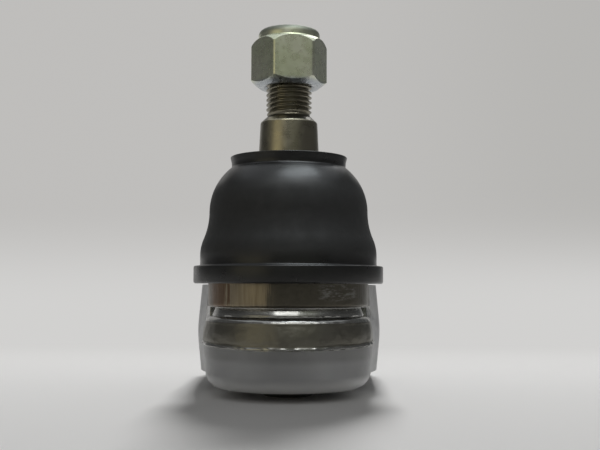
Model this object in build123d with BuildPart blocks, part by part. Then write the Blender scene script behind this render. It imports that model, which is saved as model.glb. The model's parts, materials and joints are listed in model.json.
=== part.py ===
"""Suspension ball joint: forged bolt-on housing, ball stud with taper and lock nut, rubber dust boot.

Units are millimetres. Z is the stud's axis at rest, with z = 0 on the face of the end cover's boss.
+Y points along the mounting arm, away from the round front of the housing. Sizes in capitals are
set here once; every height in small letters is stacked from them, from the boss upward.
"""

import math
import os

from build123d import *

# ---- fits, on a radius -------------------------------------------------------------------------
RUN = 0.05  # running clearance between pieces that move on each other
FIT = 0.02  # clearance between pieces that stay together

# ---- ball and stud -----------------------------------------------------------------------------
BALL_R = 13.0
BALL_CUT = 0.6  # depth of the flat under the ball
WAIST_R = 7.5  # neck between ball and journal
WAIST_BLEND = 1.1  # how far the ball's shoulder stands out from the neck
FLARE_H = 11.5  # cone from neck to journal
JOURNAL_R = 9.37  # ground cylinder that the boot's collar rides on
TAPER_H = 13.3
TAPER_RATIO = 0.1  # change of diameter per length
TAPER_BREAK_H = 1.8  # chamfer from the small end down to the thread
THREAD_R = 6.98  # M14 x 1.5, crests just under nominal
THREAD_H = 23.7
THREAD_BREAK = 1.0
CENTRE_R = 1.6  # centre drilled in the stud's end
SWING_DEG = 16.0  # swing about X and about Y

# ---- lock nut ----------------------------------------------------------------------------------
NUT_AF = 20.7
NUT_ON_H = 14.55  # length of thread inside the nut
NUT_TURN_DEG = 8.6  # how far the front flat is turned from -Y toward +X
NUT_CORNER_R = 1.5
NUT_FACE_IN = 1.25  # how far the face circle stays inside the flats
NUT_CHAMFER_DEG = 38
NUT_CROWN_H = 5.5  # height over which the corners are rounded in to the collar
HEX_H = 15.0
COLLAR_R = 9.45
COLLAR_H = 2.85
COLLAR_ROUND = 1.8
INSERT_WALL = 1.2  # wall of the collar round the insert
INSERT_H = 3.4
INSERT_LIP = 1.2  # lip turned in over the insert

# ---- housing: round body -----------------------------------------------------------------------
BOSS_H = 2.5  # height of the boss below the forging
BODY_R = 24.8
CORNER_R = 4.8  # rounding between underside and wall
PARTING_H = 13.1  # underside up to the flash line
PARTING_OUT = 0.85  # draft of the wall up to the flash line
FLASH = 0.3  # height and width of the trimmed flash
BAND_H = 6.1  # flash line up to where the shoulder's rounding starts
BAND_IN = 0.7
BAND_BULGE = 0.22
SHOULDER_ROUND = 2.3
LEDGE_H = 2.6  # shoulder up to the lower edge of the neck
NECK_R = 24.2
STEP_IN = 1.8  # the wall between shoulder and neck stands this far inside the neck
STEP_H = 0.7
CONE_H = 1.5  # coned part of that wall
CONE_W = 1.2
NECK_BREAK = 0.5

# ---- housing: arm ------------------------------------------------------------------------------
ARM_UP = 4.2  # underside of the round body up to the arm's underside
ARM_PART_H = 12.0  # the arm's underside up to its parting plane
ARM_GAP = 0.3  # top of the arm to the boot
DRAFT_DEG = 5.4
ROOT_IN = 0.5  # the flanks leave the round body this far inside its wall
ROOT_FORE = 1.0  # and this far in front of the stud's axis
FLANK_HALF = 29.3
FLANK_Y = 16.0
FLANK_ROUND = 9.0
BLOCK_Y = 35.0  # full height ends here
SLOPE_W = 14.0
PLATE_H = 14.0  # thickness of the mounting end
BOLT_BACK = 13.0  # foot of the slope to the bolts
BOLT_X = 17.5
BOLT_HOLE_R = 6.25
PAD_WALL = 5.75
PAD_UP = 1.4
END_WALL = 7.25
WAIST_IN = 5.0  # how far the end is drawn in between the bolts
EDGE_R = 1.6  # rounding of the forged edges
RIB_HALF = 4.0
BREAK = 0.8  # broken edges of the machined holes and pads

# ---- bearing, spring and cover -----------------------------------------------------------------
CRIMP_H = 1.7  # lip rolled over the cover
CRIMP_W = 1.8
COVER_H = 3.0
COVER_BOSS_R = 8.4
COVER_WALL = 2.6
SPRING_FREE = 2.1  # height between cover and pressure pad
SPRING_T = 1.2
SPRING_IN_R = 6.5
SPRING_RIM = 1.5  # how far the spring stays inside the bore
PAD_FLOOR = 1.7  # pad under the ball
PAD_HOLE_R = 4.0
PAD_GAP = 0.5  # between pressure pad and seat
CHANNEL_W = 2.0
CHANNEL_D = 1.0
SEAT_WALL = 4.0
SEAT_DOWN = 3.9  # seat below the ball's centre
SEAT_UP = 7.0  # seat above the ball's centre
SEAT_CONE = 1.8
MOUTH_GAP = 1.1  # stud to housing at the end of its swing
LIP_H = 7.2  # housing above the seat

# ---- dust boot ---------------------------------------------------------------------------------
BOOT_T = 2.3
FOOT_UP = 6.9  # lower edge of the neck up to the boot's foot
FOOT_H = 5.3
FOOT_W = 4.5
FOOT_STEP = 1.95  # flange stands out from the wall
BOOT_H = 29.9  # top of the foot up to the rim's root
BOOT_PULL = 2.7  # wall drawn in from the foot to the waist
BOOT_FOOT_WALL = 3.1  # straight wall above the foot
WAIST_AT = 0.545  # waist of the boot, as a share of its height
TURN_AT = 0.62  # where the skirt's curve turns, as a share of the way down from the waist
RIM_ROOT_R = 17.35
RIM_OUT = 0.5
RIM_H = 3.2
RIM_T = 0.9
RIM_DISH_R = 12.0
HUB_H = 5.4
HUB_WALL = 3.4
LIP_T = 1.1  # rubber lips above and below the rings
BASE_RING_T = 1.3
BASE_RING_H = 3.5
TOP_RING_T = 1.35
TOP_RING_H = 3.2

# ---- radii and heights that follow ---------------------------------------------------------------
parting_r = BODY_R + PARTING_OUT
band_r = parting_r - BAND_IN
step_r = NECK_R - STEP_IN
bore_r = BALL_R + SEAT_WALL
crimp_r = bore_r - CRIMP_W
base_z = BOSS_H
parting_z = base_z + PARTING_H
band_z = parting_z + BAND_H
shoulder_z = band_z + SHOULDER_ROUND
neck_z = shoulder_z + LEDGE_H
bore_z = base_z + CRIMP_H
cover_z = bore_z + COVER_H
pad_z = cover_z + SPRING_FREE
ball_z = pad_z + PAD_FLOOR + BALL_R  # the point the stud swings about
seat_z = ball_z - SEAT_DOWN
pad_top_z = seat_z - PAD_GAP
bore_top_z = ball_z + SEAT_UP
seat_lip_z = bore_top_z - SEAT_CONE
neck_top_z = bore_top_z + LIP_H

foot_z = neck_z + FOOT_UP
foot_top_z = foot_z + FOOT_H
foot_r = NECK_R + FOOT_W
boot_r = foot_r - FOOT_STEP
root_z = foot_top_z + BOOT_H
rim_z = root_z + RIM_H
rim_r = RIM_ROOT_R + RIM_OUT
hub_z = root_z - HUB_H
base_ring_z = foot_z + LIP_T / 2
top_ring_z = hub_z + LIP_T

journal_z = hub_z - LIP_T
flare_z = journal_z - FLARE_H
taper_z = root_z + LIP_T / 2
taper_top_z = taper_z + TAPER_H
taper_r = JOURNAL_R - TAPER_RATIO / 2 * TAPER_H
thread_z = taper_top_z + TAPER_BREAK_H
stud_top_z = thread_z + THREAD_H
nut_z = stud_top_z - NUT_ON_H
hex_top_z = nut_z + HEX_H
collar_top_z = hex_top_z + COLLAR_H
insert_top_z = collar_top_z - INSERT_LIP
insert_z = insert_top_z - INSERT_H
insert_r = COLLAR_R - INSERT_WALL
nut_bore_r = THREAD_R + RUN

arm_z = base_z + ARM_UP
arm_part_z = arm_z + ARM_PART_H
arm_top_z = foot_z - ARM_GAP
plate_z = arm_z + PLATE_H
plate_y = BLOCK_Y + SLOPE_W
bolt_y = plate_y + BOLT_BACK
end_r = BOLT_HOLE_R + END_WALL
end_y = bolt_y + end_r
bolt_pad_r = BOLT_HOLE_R + PAD_WALL


def sphere_r(radius, height):
    """Radius of a ball's section at a height from its centre."""
    return math.sqrt(radius**2 - height**2)


def arc_point(centre_r, centre_z, radius, z, side=1):
    """Point at height z on a circle in the radius and height plane."""
    return (centre_r + side * math.sqrt(radius**2 - (z - centre_z) ** 2), z)


def near(value, target):
    return abs(value - target) < 0.01


# ---- housing -----------------------------------------------------------------------------------
with BuildPart() as housing:
    # arm: one plan outline, drafted up and down from its parting plane
    for rise in (arm_top_z - arm_part_z, arm_z - arm_part_z):
        with BuildSketch(Plane.XY.offset(arm_part_z)) as plan:
            with BuildLine():
                Polyline(
                    (0, end_y - WAIST_IN),
                    (-BOLT_X, end_y),
                    (-BOLT_X - end_r, end_y),
                    (-BOLT_X - end_r, bolt_y - end_r / 2),
                    (-FLANK_HALF, FLANK_Y),
                    (-BODY_R + ROOT_IN, -ROOT_FORE),
                    (BODY_R - ROOT_IN, -ROOT_FORE),
                    (FLANK_HALF, FLANK_Y),
                    (BOLT_X + end_r, bolt_y - end_r / 2),
                    (BOLT_X + end_r, end_y),
                    (BOLT_X, end_y),
                    (0, end_y - WAIST_IN),
                )
            make_face()
            end = [v for v in plan.vertices() if near(v.Y, end_y)]
            fillet([v for v in end if abs(v.X) > BOLT_X + 1], end_r - 1)
            fillet([v for v in plan.vertices() if near(v.Y, FLANK_Y)], FLANK_ROUND)
            fillet([v for v in plan.vertices() if near(v.X, 0)], 1.5 * end_r)
        extrude(amount=rise, taper=DRAFT_DEG)

    # the mounting end is lower than the block behind the neck
    with BuildSketch(Plane.YZ) as step:
        with BuildLine():
            Polyline(
                (BLOCK_Y / 2, arm_top_z + 5),
                (BLOCK_Y / 2, arm_top_z),
                (BLOCK_Y, arm_top_z),
                (plate_y, plate_z),
                (end_y + 5, plate_z),
                (end_y + 5, arm_top_z + 5),
                (BLOCK_Y / 2, arm_top_z + 5),
            )
        make_face()
        fillet([v for v in step.vertices() if near(v.X, BLOCK_Y)], SLOPE_W / 2.4)
        fillet([v for v in step.vertices() if near(v.X, plate_y)], SLOPE_W / 1.8)
    extrude(amount=2 * FLANK_HALF, both=True, mode=Mode.SUBTRACT)

    # edges above and below the parting plane are rounded, as a forging's are
    forged_edges = [
        e
        for e in housing.edges()
        if abs(e.center().Z - arm_part_z) > 2
        and abs(e.tangent_at(0.5).Z) < 0.9
        and e.center().Y > 1
        and abs(e.center().X) > 1
    ]
    fillet(forged_edges, EDGE_R)

    # rib between the bolt pads, and the pads, which run down to the resting plane
    with BuildSketch(Plane.YZ):
        Polygon(
            (BLOCK_Y - 8, arm_top_z - EDGE_R),
            (BLOCK_Y - 1, arm_top_z - EDGE_R),
            (bolt_y + 4, plate_z + PAD_UP),
            (bolt_y + 7, plate_z - 1),
            (BLOCK_Y - 8, plate_z - 1),
            align=None,
        )
    extrude(amount=RIB_HALF, both=True)
    with BuildSketch(Plane.XY):
        with Locations((-BOLT_X, bolt_y), (BOLT_X, bolt_y)):
            Circle(bolt_pad_r)
    extrude(amount=plate_z + PAD_UP)

    # round body, shoulder and neck, turned about the stud axis
    with BuildSketch(Plane.XZ):
        with BuildLine():
            Polyline((0, neck_top_z), (0, base_z), (BODY_R - CORNER_R, base_z))
            RadiusArc((BODY_R - CORNER_R, base_z), (BODY_R, base_z + CORNER_R), -CORNER_R)
            Polyline(
                (BODY_R, base_z + CORNER_R),
                (parting_r, parting_z - FLASH),
                (parting_r + FLASH, parting_z - FLASH / 2),
                (parting_r + FLASH, parting_z + FLASH / 2),
                (parting_r, parting_z + FLASH),
            )
            ThreePointArc(
                (parting_r, parting_z + FLASH),
                ((parting_r + band_r) / 2 + BAND_BULGE, (parting_z + band_z) / 2),
                (band_r, band_z),
            )
            RadiusArc((band_r, band_z), (band_r - SHOULDER_ROUND, shoulder_z), -SHOULDER_ROUND)
            Polyline(
                (band_r - SHOULDER_ROUND, shoulder_z),
                (step_r, shoulder_z),
                (step_r, shoulder_z + STEP_H),
                (step_r - CONE_W, shoulder_z + STEP_H + CONE_H),
                (step_r - CONE_W, neck_z),
                (NECK_R, neck_z),
                (NECK_R, neck_top_z - NECK_BREAK),
                (NECK_R - NECK_BREAK, neck_top_z),
                (0, neck_top_z),
            )
        make_face()
    revolve(axis=Axis.Z)

    # bearing bore from below, lip rolled over the cover, and the mouth the stud swings in
    lean = math.acos(math.cos(math.radians(SWING_DEG)) ** 2)
    mouth_r = SEAT_UP * math.tan(lean) + WAIST_R / math.cos(lean) + MOUTH_GAP
    mouth_top_r = mouth_r + LIP_H * math.tan(lean)
    with BuildSketch(Plane.XZ):
        with BuildLine():
            Polyline(
                (0, -1),
                (crimp_r, -1),
                (crimp_r, bore_z),
                (bore_r, bore_z),
                (bore_r, bore_top_z),
                (mouth_r, bore_top_z),
                (mouth_top_r, neck_top_z),
                (mouth_top_r, neck_top_z + 1),
                (0, neck_top_z + 1),
                (0, -1),
            )
        make_face()
    revolve(axis=Axis.Z, mode=Mode.SUBTRACT)

    # bolt holes, with their mouths and the pads' edges broken
    with BuildSketch(Plane.XY.offset(-1)):
        with Locations((-BOLT_X, bolt_y), (BOLT_X, bolt_y)):
            Circle(BOLT_HOLE_R)
    extrude(amount=plate_z + PAD_UP + 2, mode=Mode.SUBTRACT)
    rings = housing.edges().filter_by(GeomType.CIRCLE)
    chamfer(rings.filter_by(lambda e: near(e.radius, BOLT_HOLE_R)), BREAK)
    rings = housing.edges().filter_by(GeomType.CIRCLE)
    chamfer(rings.filter_by(lambda e: near(e.radius, bolt_pad_r) and near(e.center().Z, 0)), BREAK)


# ---- end cover: pressed steel disc with a boss ---------------------------------------------------
with BuildPart() as end_cover:
    dimple_r = COVER_BOSS_R - COVER_WALL
    with BuildSketch(Plane.XZ):
        with BuildLine():
            Polyline(
                (0, 0),
                (COVER_BOSS_R - 1.2, 0),
                (COVER_BOSS_R, 1.2),
                (COVER_BOSS_R, bore_z - 0.6),
                (COVER_BOSS_R + 0.6, bore_z),
                (bore_r - FIT, bore_z),
                (bore_r - FIT, cover_z),
                (dimple_r + BREAK, cover_z),
                (dimple_r, cover_z - BREAK),
                (dimple_r, COVER_WALL),
                (0, COVER_WALL),
                (0, 0),
            )
        make_face()
    revolve(axis=Axis.Z)


# ---- preload spring: a coned disc between cover and pressure pad ---------------------------------
with BuildPart() as preload_spring:
    spring_r = bore_r - SPRING_RIM
    with BuildSketch(Plane.XZ):
        Polygon(
            (SPRING_IN_R, pad_z - FIT - SPRING_T),
            (spring_r, cover_z + FIT),
            (spring_r, cover_z + FIT + SPRING_T),
            (SPRING_IN_R, pad_z - FIT),
            align=None,
        )
    revolve(axis=Axis.Z)


# ---- pressure pad: the lower half of the bearing ---------------------------------------------------
cup_r = BALL_R + RUN
with BuildPart() as pressure_pad:
    pad_rim = (sphere_r(cup_r, ball_z - pad_top_z), pad_top_z)
    pad_hole = (PAD_HOLE_R, ball_z - sphere_r(cup_r, PAD_HOLE_R))
    with BuildSketch(Plane.XZ):
        with BuildLine():
            Polyline(
                (PAD_HOLE_R, pad_z),
                (bore_r - FIT - BREAK, pad_z),
                (bore_r - FIT, pad_z + BREAK),
                (bore_r - FIT, pad_top_z),
                pad_rim,
            )
            ThreePointArc(
                pad_rim,
                arc_point(0, ball_z, cup_r, (pad_rim[1] + pad_hole[1]) / 2),
                pad_hole,
            )
            Line(pad_hole, (PAD_HOLE_R, pad_z))
        make_face()
    revolve(axis=Axis.Z)
    # grease channels, crossed over the floor of the cup
    with BuildSketch(Plane.XY.offset(pad_z + PAD_FLOOR - CHANNEL_D)):
        for turn in (0, 90):
            Rectangle(1.5 * BALL_R, CHANNEL_W, rotation=turn)
    extrude(amount=BALL_R / 4, mode=Mode.SUBTRACT)


# ---- ball seat: the upper half of the bearing ------------------------------------------------------
with BuildPart() as ball_seat:
    seat_lip = (sphere_r(cup_r, seat_lip_z - ball_z), seat_lip_z)
    seat_foot = (sphere_r(cup_r, ball_z - seat_z), seat_z)
    with BuildSketch(Plane.XZ):
        with BuildLine():
            Polyline(
                seat_lip,
                (mouth_r, bore_top_z - FIT),
                (bore_r - FIT, bore_top_z - FIT),
                (bore_r - FIT, seat_z),
                seat_foot,
            )
            ThreePointArc(seat_foot, (cup_r, ball_z), seat_lip)
        make_face()
    revolve(axis=Axis.Z)


# ---- ball stud --------------------------------------------------------------------------------------
with BuildPart() as ball_stud:
    flat = (sphere_r(BALL_R, BALL_R - BALL_CUT), ball_z - BALL_R + BALL_CUT)
    blend = (WAIST_R + WAIST_BLEND, ball_z + sphere_r(BALL_R, WAIST_R + WAIST_BLEND))
    with BuildSketch(Plane.XZ):
        with BuildLine():
            Line((0, flat[1]), flat)
            ThreePointArc(flat, (BALL_R, ball_z), blend)
            ThreePointArc(
                blend,
                (WAIST_R + WAIST_BLEND / 4, blend[1] + 1.5 * WAIST_BLEND),
                (WAIST_R, blend[1] + 3 * WAIST_BLEND),
            )
            Polyline(
                (WAIST_R, blend[1] + 3 * WAIST_BLEND),
                (WAIST_R, flare_z),
                (JOURNAL_R, journal_z),
                (JOURNAL_R, taper_z),
                (taper_r, taper_top_z),
                (THREAD_R, thread_z),
                (THREAD_R, stud_top_z - THREAD_BREAK),
                (THREAD_R - THREAD_BREAK, stud_top_z),
                (CENTRE_R, stud_top_z),
                (0, stud_top_z - CENTRE_R),
                (0, flat[1]),
            )
        make_face()
    revolve(axis=Axis.Z)


# ---- lock nut: hexagon, with a round collar that holds the insert --------------------------------
with BuildPart() as lock_nut:
    with BuildSketch(Plane.XY.offset(nut_z)) as hexagon:
        RegularPolygon(NUT_AF / 2, 6, major_radius=False, rotation=NUT_TURN_DEG)
        fillet(hexagon.vertices(), NUT_CORNER_R)
    extrude(amount=HEX_H)
    # below, the corners are turned to a cone; above, they are rounded in to the collar
    tip_r = NUT_AF / 2 / math.cos(math.pi / 6)
    face_r = NUT_AF / 2 - NUT_FACE_IN
    crown_in = tip_r - COLLAR_R
    crown_r = (crown_in**2 + NUT_CROWN_H**2) / (2 * crown_in)
    crown_z = hex_top_z - NUT_CROWN_H
    with BuildSketch(Plane.XZ):
        with BuildLine():
            Polyline(
                (0, nut_z),
                (face_r, nut_z),
                (tip_r, nut_z + (tip_r - face_r) * math.tan(math.radians(NUT_CHAMFER_DEG))),
                (tip_r, crown_z),
            )
            ThreePointArc(
                (tip_r, crown_z),
                arc_point(tip_r - crown_r, crown_z, crown_r, crown_z + NUT_CROWN_H / 2),
                (COLLAR_R, hex_top_z),
            )
            Polyline((COLLAR_R, hex_top_z), (0, hex_top_z), (0, nut_z))
        make_face()
    revolve(axis=Axis.Z, mode=Mode.INTERSECT)
    with BuildSketch(Plane.XZ):
        with BuildLine():
            Polyline(
                (0, hex_top_z - COLLAR_ROUND),
                (COLLAR_R, hex_top_z - COLLAR_ROUND),
                (COLLAR_R, collar_top_z - COLLAR_ROUND),
            )
            RadiusArc(
                (COLLAR_R, collar_top_z - COLLAR_ROUND),
                (COLLAR_R - COLLAR_ROUND, collar_top_z),
                -COLLAR_ROUND,
            )
            Polyline(
                (COLLAR_R - COLLAR_ROUND, collar_top_z),
                (0, collar_top_z),
                (0, hex_top_z - COLLAR_ROUND),
            )
        make_face()
    revolve(axis=Axis.Z)
    # threaded bore, countersink, pocket for the insert and the lip turned in over it
    with BuildSketch(Plane.XZ):
        with BuildLine():
            Polyline(
                (0, nut_z - 1),
                (nut_bore_r + BREAK, nut_z - 1),
                (nut_bore_r + BREAK, nut_z),
                (nut_bore_r, nut_z + BREAK),
                (nut_bore_r, insert_z),
                (insert_r + RUN, insert_z),
                (insert_r + RUN, insert_top_z + RUN),
                (nut_bore_r + BREAK / 2, collar_top_z - INSERT_LIP / 2),
                (nut_bore_r + BREAK / 2, collar_top_z + 1),
                (0, collar_top_z + 1),
                (0, nut_z - 1),
            )
        make_face()
    revolve(axis=Axis.Z, mode=Mode.SUBTRACT)


# ---- nylon insert -----------------------------------------------------------------------------------
with BuildPart() as nylon_insert:
    with BuildSketch(Plane.XY.offset(insert_z + RUN)):
        Circle(insert_r)
        Circle(nut_bore_r, mode=Mode.SUBTRACT)
    extrude(amount=INSERT_H - RUN)


# ---- dust boot ----------------------------------------------------------------------------------------
with BuildPart() as dust_boot:
    # the dome is an arc that leaves the waist upright; the skirt is two arcs that meet halfway
    waist = (boot_r - BOOT_PULL, foot_top_z + WAIST_AT * BOOT_H)
    skirt = (boot_r, foot_top_z + BOOT_FOOT_WALL)
    dome_in = waist[0] - RIM_ROOT_R
    dome_r = (dome_in**2 + (root_z - waist[1]) ** 2) / (2 * dome_in)
    drop, out = waist[1] - skirt[1], skirt[0] - waist[0]
    chord = (drop**2 + out**2) / (2 * out)
    upper_r, lower_r = TURN_AT * chord, (1 - TURN_AT) * chord
    turn_z = waist[1] - TURN_AT * drop
    dome_c, upper_c, lower_c = waist[0] - dome_r, waist[0] + upper_r, skirt[0] - lower_r
    middle = (waist[0] + TURN_AT * out, turn_z)
    inner_top_z = hub_z + HUB_H / 3
    inner_top = arc_point(dome_c, waist[1], dome_r - BOOT_T, inner_top_z)
    inner_waist = (waist[0] - BOOT_T, waist[1])
    inner_skirt = (skirt[0] - BOOT_T, skirt[1])
    inner_share = 1 - BOOT_T / lower_r
    inner_middle = (
        lower_c + (middle[0] - lower_c) * inner_share,
        skirt[1] + (middle[1] - skirt[1]) * inner_share,
    )
    quarter, lower_quarter = (waist[1] + middle[1]) / 2, (skirt[1] + middle[1]) / 2
    inner_quarter = (waist[1] + inner_middle[1]) / 2
    inner_lower = (skirt[1] + inner_middle[1]) / 2
    dome_mid_z = (waist[1] + root_z) / 2
    with BuildSketch(Plane.XZ):
        with BuildLine():
            Polyline(
                (rim_r - RIM_T, rim_z),
                (rim_r, rim_z),
                (rim_r - RIM_OUT / 3, rim_z - RIM_H / 2.5),
                (RIM_ROOT_R, root_z),
            )
            ThreePointArc(
                (RIM_ROOT_R, root_z), arc_point(dome_c, waist[1], dome_r, dome_mid_z), waist
            )
            ThreePointArc(waist, arc_point(upper_c, waist[1], upper_r, quarter, -1), middle)
            ThreePointArc(middle, arc_point(lower_c, skirt[1], lower_r, lower_quarter), skirt)
            Polyline(
                skirt,
                (boot_r, foot_top_z),
                (foot_r - FLASH, foot_top_z),
                (foot_r, foot_top_z - FLASH),
                (foot_r, foot_z + FLASH),
                (foot_r - FLASH, foot_z),
                (NECK_R + RUN, foot_z),
                (NECK_R + RUN, base_ring_z - RUN),
                (NECK_R + BASE_RING_T + RUN, base_ring_z - RUN),
                (NECK_R + BASE_RING_T + RUN, base_ring_z + BASE_RING_H + RUN),
                (NECK_R + RUN, base_ring_z + BASE_RING_H + RUN),
                (NECK_R + RUN, foot_top_z),
                inner_skirt,
            )
            ThreePointArc(
                inner_skirt,
                arc_point(lower_c, skirt[1], lower_r - BOOT_T, inner_lower),
                inner_middle,
            )
            ThreePointArc(
                inner_middle,
                arc_point(upper_c, waist[1], upper_r + BOOT_T, inner_quarter, -1),
                inner_waist,
            )
            ThreePointArc(
                inner_waist,
                arc_point(dome_c, waist[1], dome_r - BOOT_T, (waist[1] + inner_top_z) / 2),
                inner_top,
            )
            # collar: two lips on the journal with the steel ring between them, and the rim
            Polyline(
                inner_top,
                (JOURNAL_R + HUB_WALL, hub_z),
                (JOURNAL_R + RUN, hub_z),
                (JOURNAL_R + RUN, top_ring_z - RUN),
                (JOURNAL_R + TOP_RING_T + RUN, top_ring_z - RUN),
                (JOURNAL_R + TOP_RING_T + RUN, top_ring_z + TOP_RING_H + RUN),
                (JOURNAL_R + RUN, top_ring_z + TOP_RING_H + RUN),
                (JOURNAL_R + RUN, root_z + RUN),
                (RIM_DISH_R, root_z + RIM_H / 8),
            )
            ThreePointArc(
                (RIM_DISH_R, root_z + RIM_H / 8),
                ((RIM_DISH_R + rim_r) / 2, root_z + RIM_H / 3),
                (rim_r - RIM_T, rim_z),
            )
        make_face()
    revolve(axis=Axis.Z)


# ---- steel rings in the boot ---------------------------------------------------------------------------
with BuildPart() as boot_base_ring:
    with BuildSketch(Plane.XY.offset(base_ring_z)):
        Circle(NECK_R + BASE_RING_T)
        Circle(NECK_R + FIT, mode=Mode.SUBTRACT)
    extrude(amount=BASE_RING_H)

with BuildPart() as boot_top_ring:
    with BuildSketch(Plane.XY.offset(top_ring_z)):
        Circle(JOURNAL_R + TOP_RING_T)
        Circle(JOURNAL_R + RUN, mode=Mode.SUBTRACT)
    extrude(amount=TOP_RING_H)


os.makedirs("parts", exist_ok=True)
for piece, label in (
    (housing, "housing"),
    (end_cover, "end_cover"),
    (preload_spring, "preload_spring"),
    (pressure_pad, "pressure_pad"),
    (ball_seat, "ball_seat"),
    (ball_stud, "ball_stud"),
    (dust_boot, "dust_boot"),
    (boot_base_ring, "boot_base_ring"),
    (boot_top_ring, "boot_top_ring"),
    (lock_nut, "lock_nut"),
    (nylon_insert, "nylon_insert"),
):
    piece.part.label = label
    export_step(piece.part, f"parts/{label}.step")
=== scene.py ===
# %% [markdown]
# # A suspension ball joint
#
# A ball joint lets a road wheel's knuckle tilt and turn on the end of a control arm. A steel ball on a
# stud sits in a forged housing, a rubber boot keeps the grease in and the dirt out, and a lock nut
# pulls the stud's taper into the knuckle. This lesson dresses a finished CAD model of one. The CAD
# solids come in as a fixed frame, and every piece made here has to stay where its solid is.

# %% Load the frame
import math

import json

import bmesh
import bpy
from mathutils import Matrix, Vector, noise

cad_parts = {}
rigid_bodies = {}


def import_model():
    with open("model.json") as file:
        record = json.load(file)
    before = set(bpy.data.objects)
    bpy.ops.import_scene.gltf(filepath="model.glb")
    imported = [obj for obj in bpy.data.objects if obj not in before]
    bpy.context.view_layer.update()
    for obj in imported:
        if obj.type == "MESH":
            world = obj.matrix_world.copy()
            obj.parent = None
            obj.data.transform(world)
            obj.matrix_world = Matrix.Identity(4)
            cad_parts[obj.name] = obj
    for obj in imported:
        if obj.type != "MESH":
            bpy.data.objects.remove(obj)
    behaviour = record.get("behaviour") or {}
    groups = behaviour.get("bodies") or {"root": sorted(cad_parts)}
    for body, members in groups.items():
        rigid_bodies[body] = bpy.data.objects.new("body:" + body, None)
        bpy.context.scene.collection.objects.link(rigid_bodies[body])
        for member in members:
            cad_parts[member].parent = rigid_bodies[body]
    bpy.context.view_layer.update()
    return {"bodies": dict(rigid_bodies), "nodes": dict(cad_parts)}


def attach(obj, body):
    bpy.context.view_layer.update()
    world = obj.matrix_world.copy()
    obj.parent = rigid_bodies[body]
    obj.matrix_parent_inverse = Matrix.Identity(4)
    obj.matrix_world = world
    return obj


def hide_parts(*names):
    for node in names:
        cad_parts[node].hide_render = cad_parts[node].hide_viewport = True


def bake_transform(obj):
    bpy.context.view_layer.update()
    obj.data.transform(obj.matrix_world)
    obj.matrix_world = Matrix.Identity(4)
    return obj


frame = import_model()
scene = bpy.context.scene
MM = 0.001
print("bodies:", ", ".join(frame["bodies"]))
print("nodes:", ", ".join(frame["nodes"]))

# %% [markdown]
# ## The camera
#
# The part stands upright on a table and is seen from low down, a third of its own height above the
# table, with the lens tipped up a little to take in the nut. A camera that is tipped makes upright
# lines lean together slightly, which a shifted lens would not do, so the shift stays at zero.

# %% Camera
EYE = Vector((3.54, -289.2, 33.12)) * MM
TIP_UP_DEG = 3.614
ROLL_DEG = -0.17
LENS_PX = 950.0
IMAGE_WIDTH_PX = 600

lens = bpy.data.cameras.new("bench_camera")
lens.sensor_width = 36.0
lens.lens = LENS_PX / IMAGE_WIDTH_PX * lens.sensor_width
lens.clip_start = 0.01
camera = bpy.data.objects.new("bench_camera", lens)
scene.collection.objects.link(camera)
camera.location = EYE
camera.rotation_euler = (math.radians(90 + TIP_UP_DEG), math.radians(ROLL_DEG), 0)
scene.camera = camera
print(f"lens {lens.lens:.1f} mm, eye {EYE.z / MM:.0f} mm above the table")

# %% [markdown]
# ## Helpers for turned pieces
#
# Nearly everything on a ball joint is turned on a lathe or moulded round an axis. On such a piece the
# work is all in the outline, which is half of a section through the axis. `bow` gives the points of an
# arc in that outline, `outline_mesh` draws the outline as a wire and rounds chosen corners with the
# bevel operator, and `turn` spins the wire into a surface. Full spins are merged on themselves, and
# points that fell together on the axis are merged after that, so that there is no seam and no open pole.

# %% Outline helpers
def bow(start, end, rise, count=10):
    """Points of an arc from start to end in the (radius, height) plane, bowed to the left by rise."""
    a, b = Vector(start), Vector(end)
    half = (b - a) / 2
    left = Vector((-half.y, half.x)).normalized()
    radius = (half.length_squared + rise * rise) / (2 * abs(rise))
    centre = a + half + left * (rise - math.copysign(radius, rise))
    first, last = a - centre, b - centre
    sweep = first.angle_signed(last)
    if abs(rise) > half.length:
        sweep -= math.copysign(math.tau, sweep)
    points = []
    for i in range(count + 1):
        angle = sweep * i / count
        x = first.x * math.cos(angle) + first.y * math.sin(angle)
        y = -first.x * math.sin(angle) + first.y * math.cos(angle)
        points.append((centre.x + x, centre.y + y))
    return points


def outline_mesh(points, closed=True, rounded=()):
    """A wire of the outline, in millimetres. rounded holds (point, radius) pairs of corners to soften."""
    bm = bmesh.new()
    clean = [p for i, p in enumerate(points) if i == 0 or (Vector(p) - Vector(points[i - 1])).length > 1e-4]
    wire = [bm.verts.new((r * MM, 0, z * MM)) for r, z in clean]
    for pair in zip(wire, wire[1:] + wire[:1] if closed else wire[1:]):
        bm.edges.new(pair)
    for (r, z), radius in rounded:
        corner = min(bm.verts, key=lambda v: (v.co - Vector((r * MM, 0, z * MM))).length)
        bmesh.ops.bevel(
            bm, geom=[corner], offset=radius * MM, offset_type="OFFSET", segments=4, profile=0.5,
            affect="VERTICES", material=-1,
        )
    return bm


def turn(bm, steps=192):
    """Spins the wire in bm once round the stud's axis."""
    bmesh.ops.spin(
        bm, geom=bm.verts[:] + bm.edges[:], cent=(0, 0, 0), axis=(0, 0, 1), angle=math.tau,
        steps=steps, use_merge=True,
    )
    bmesh.ops.remove_doubles(bm, verts=bm.verts, dist=1e-7)
    bmesh.ops.recalc_face_normals(bm, faces=bm.faces)
    return bm


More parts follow.
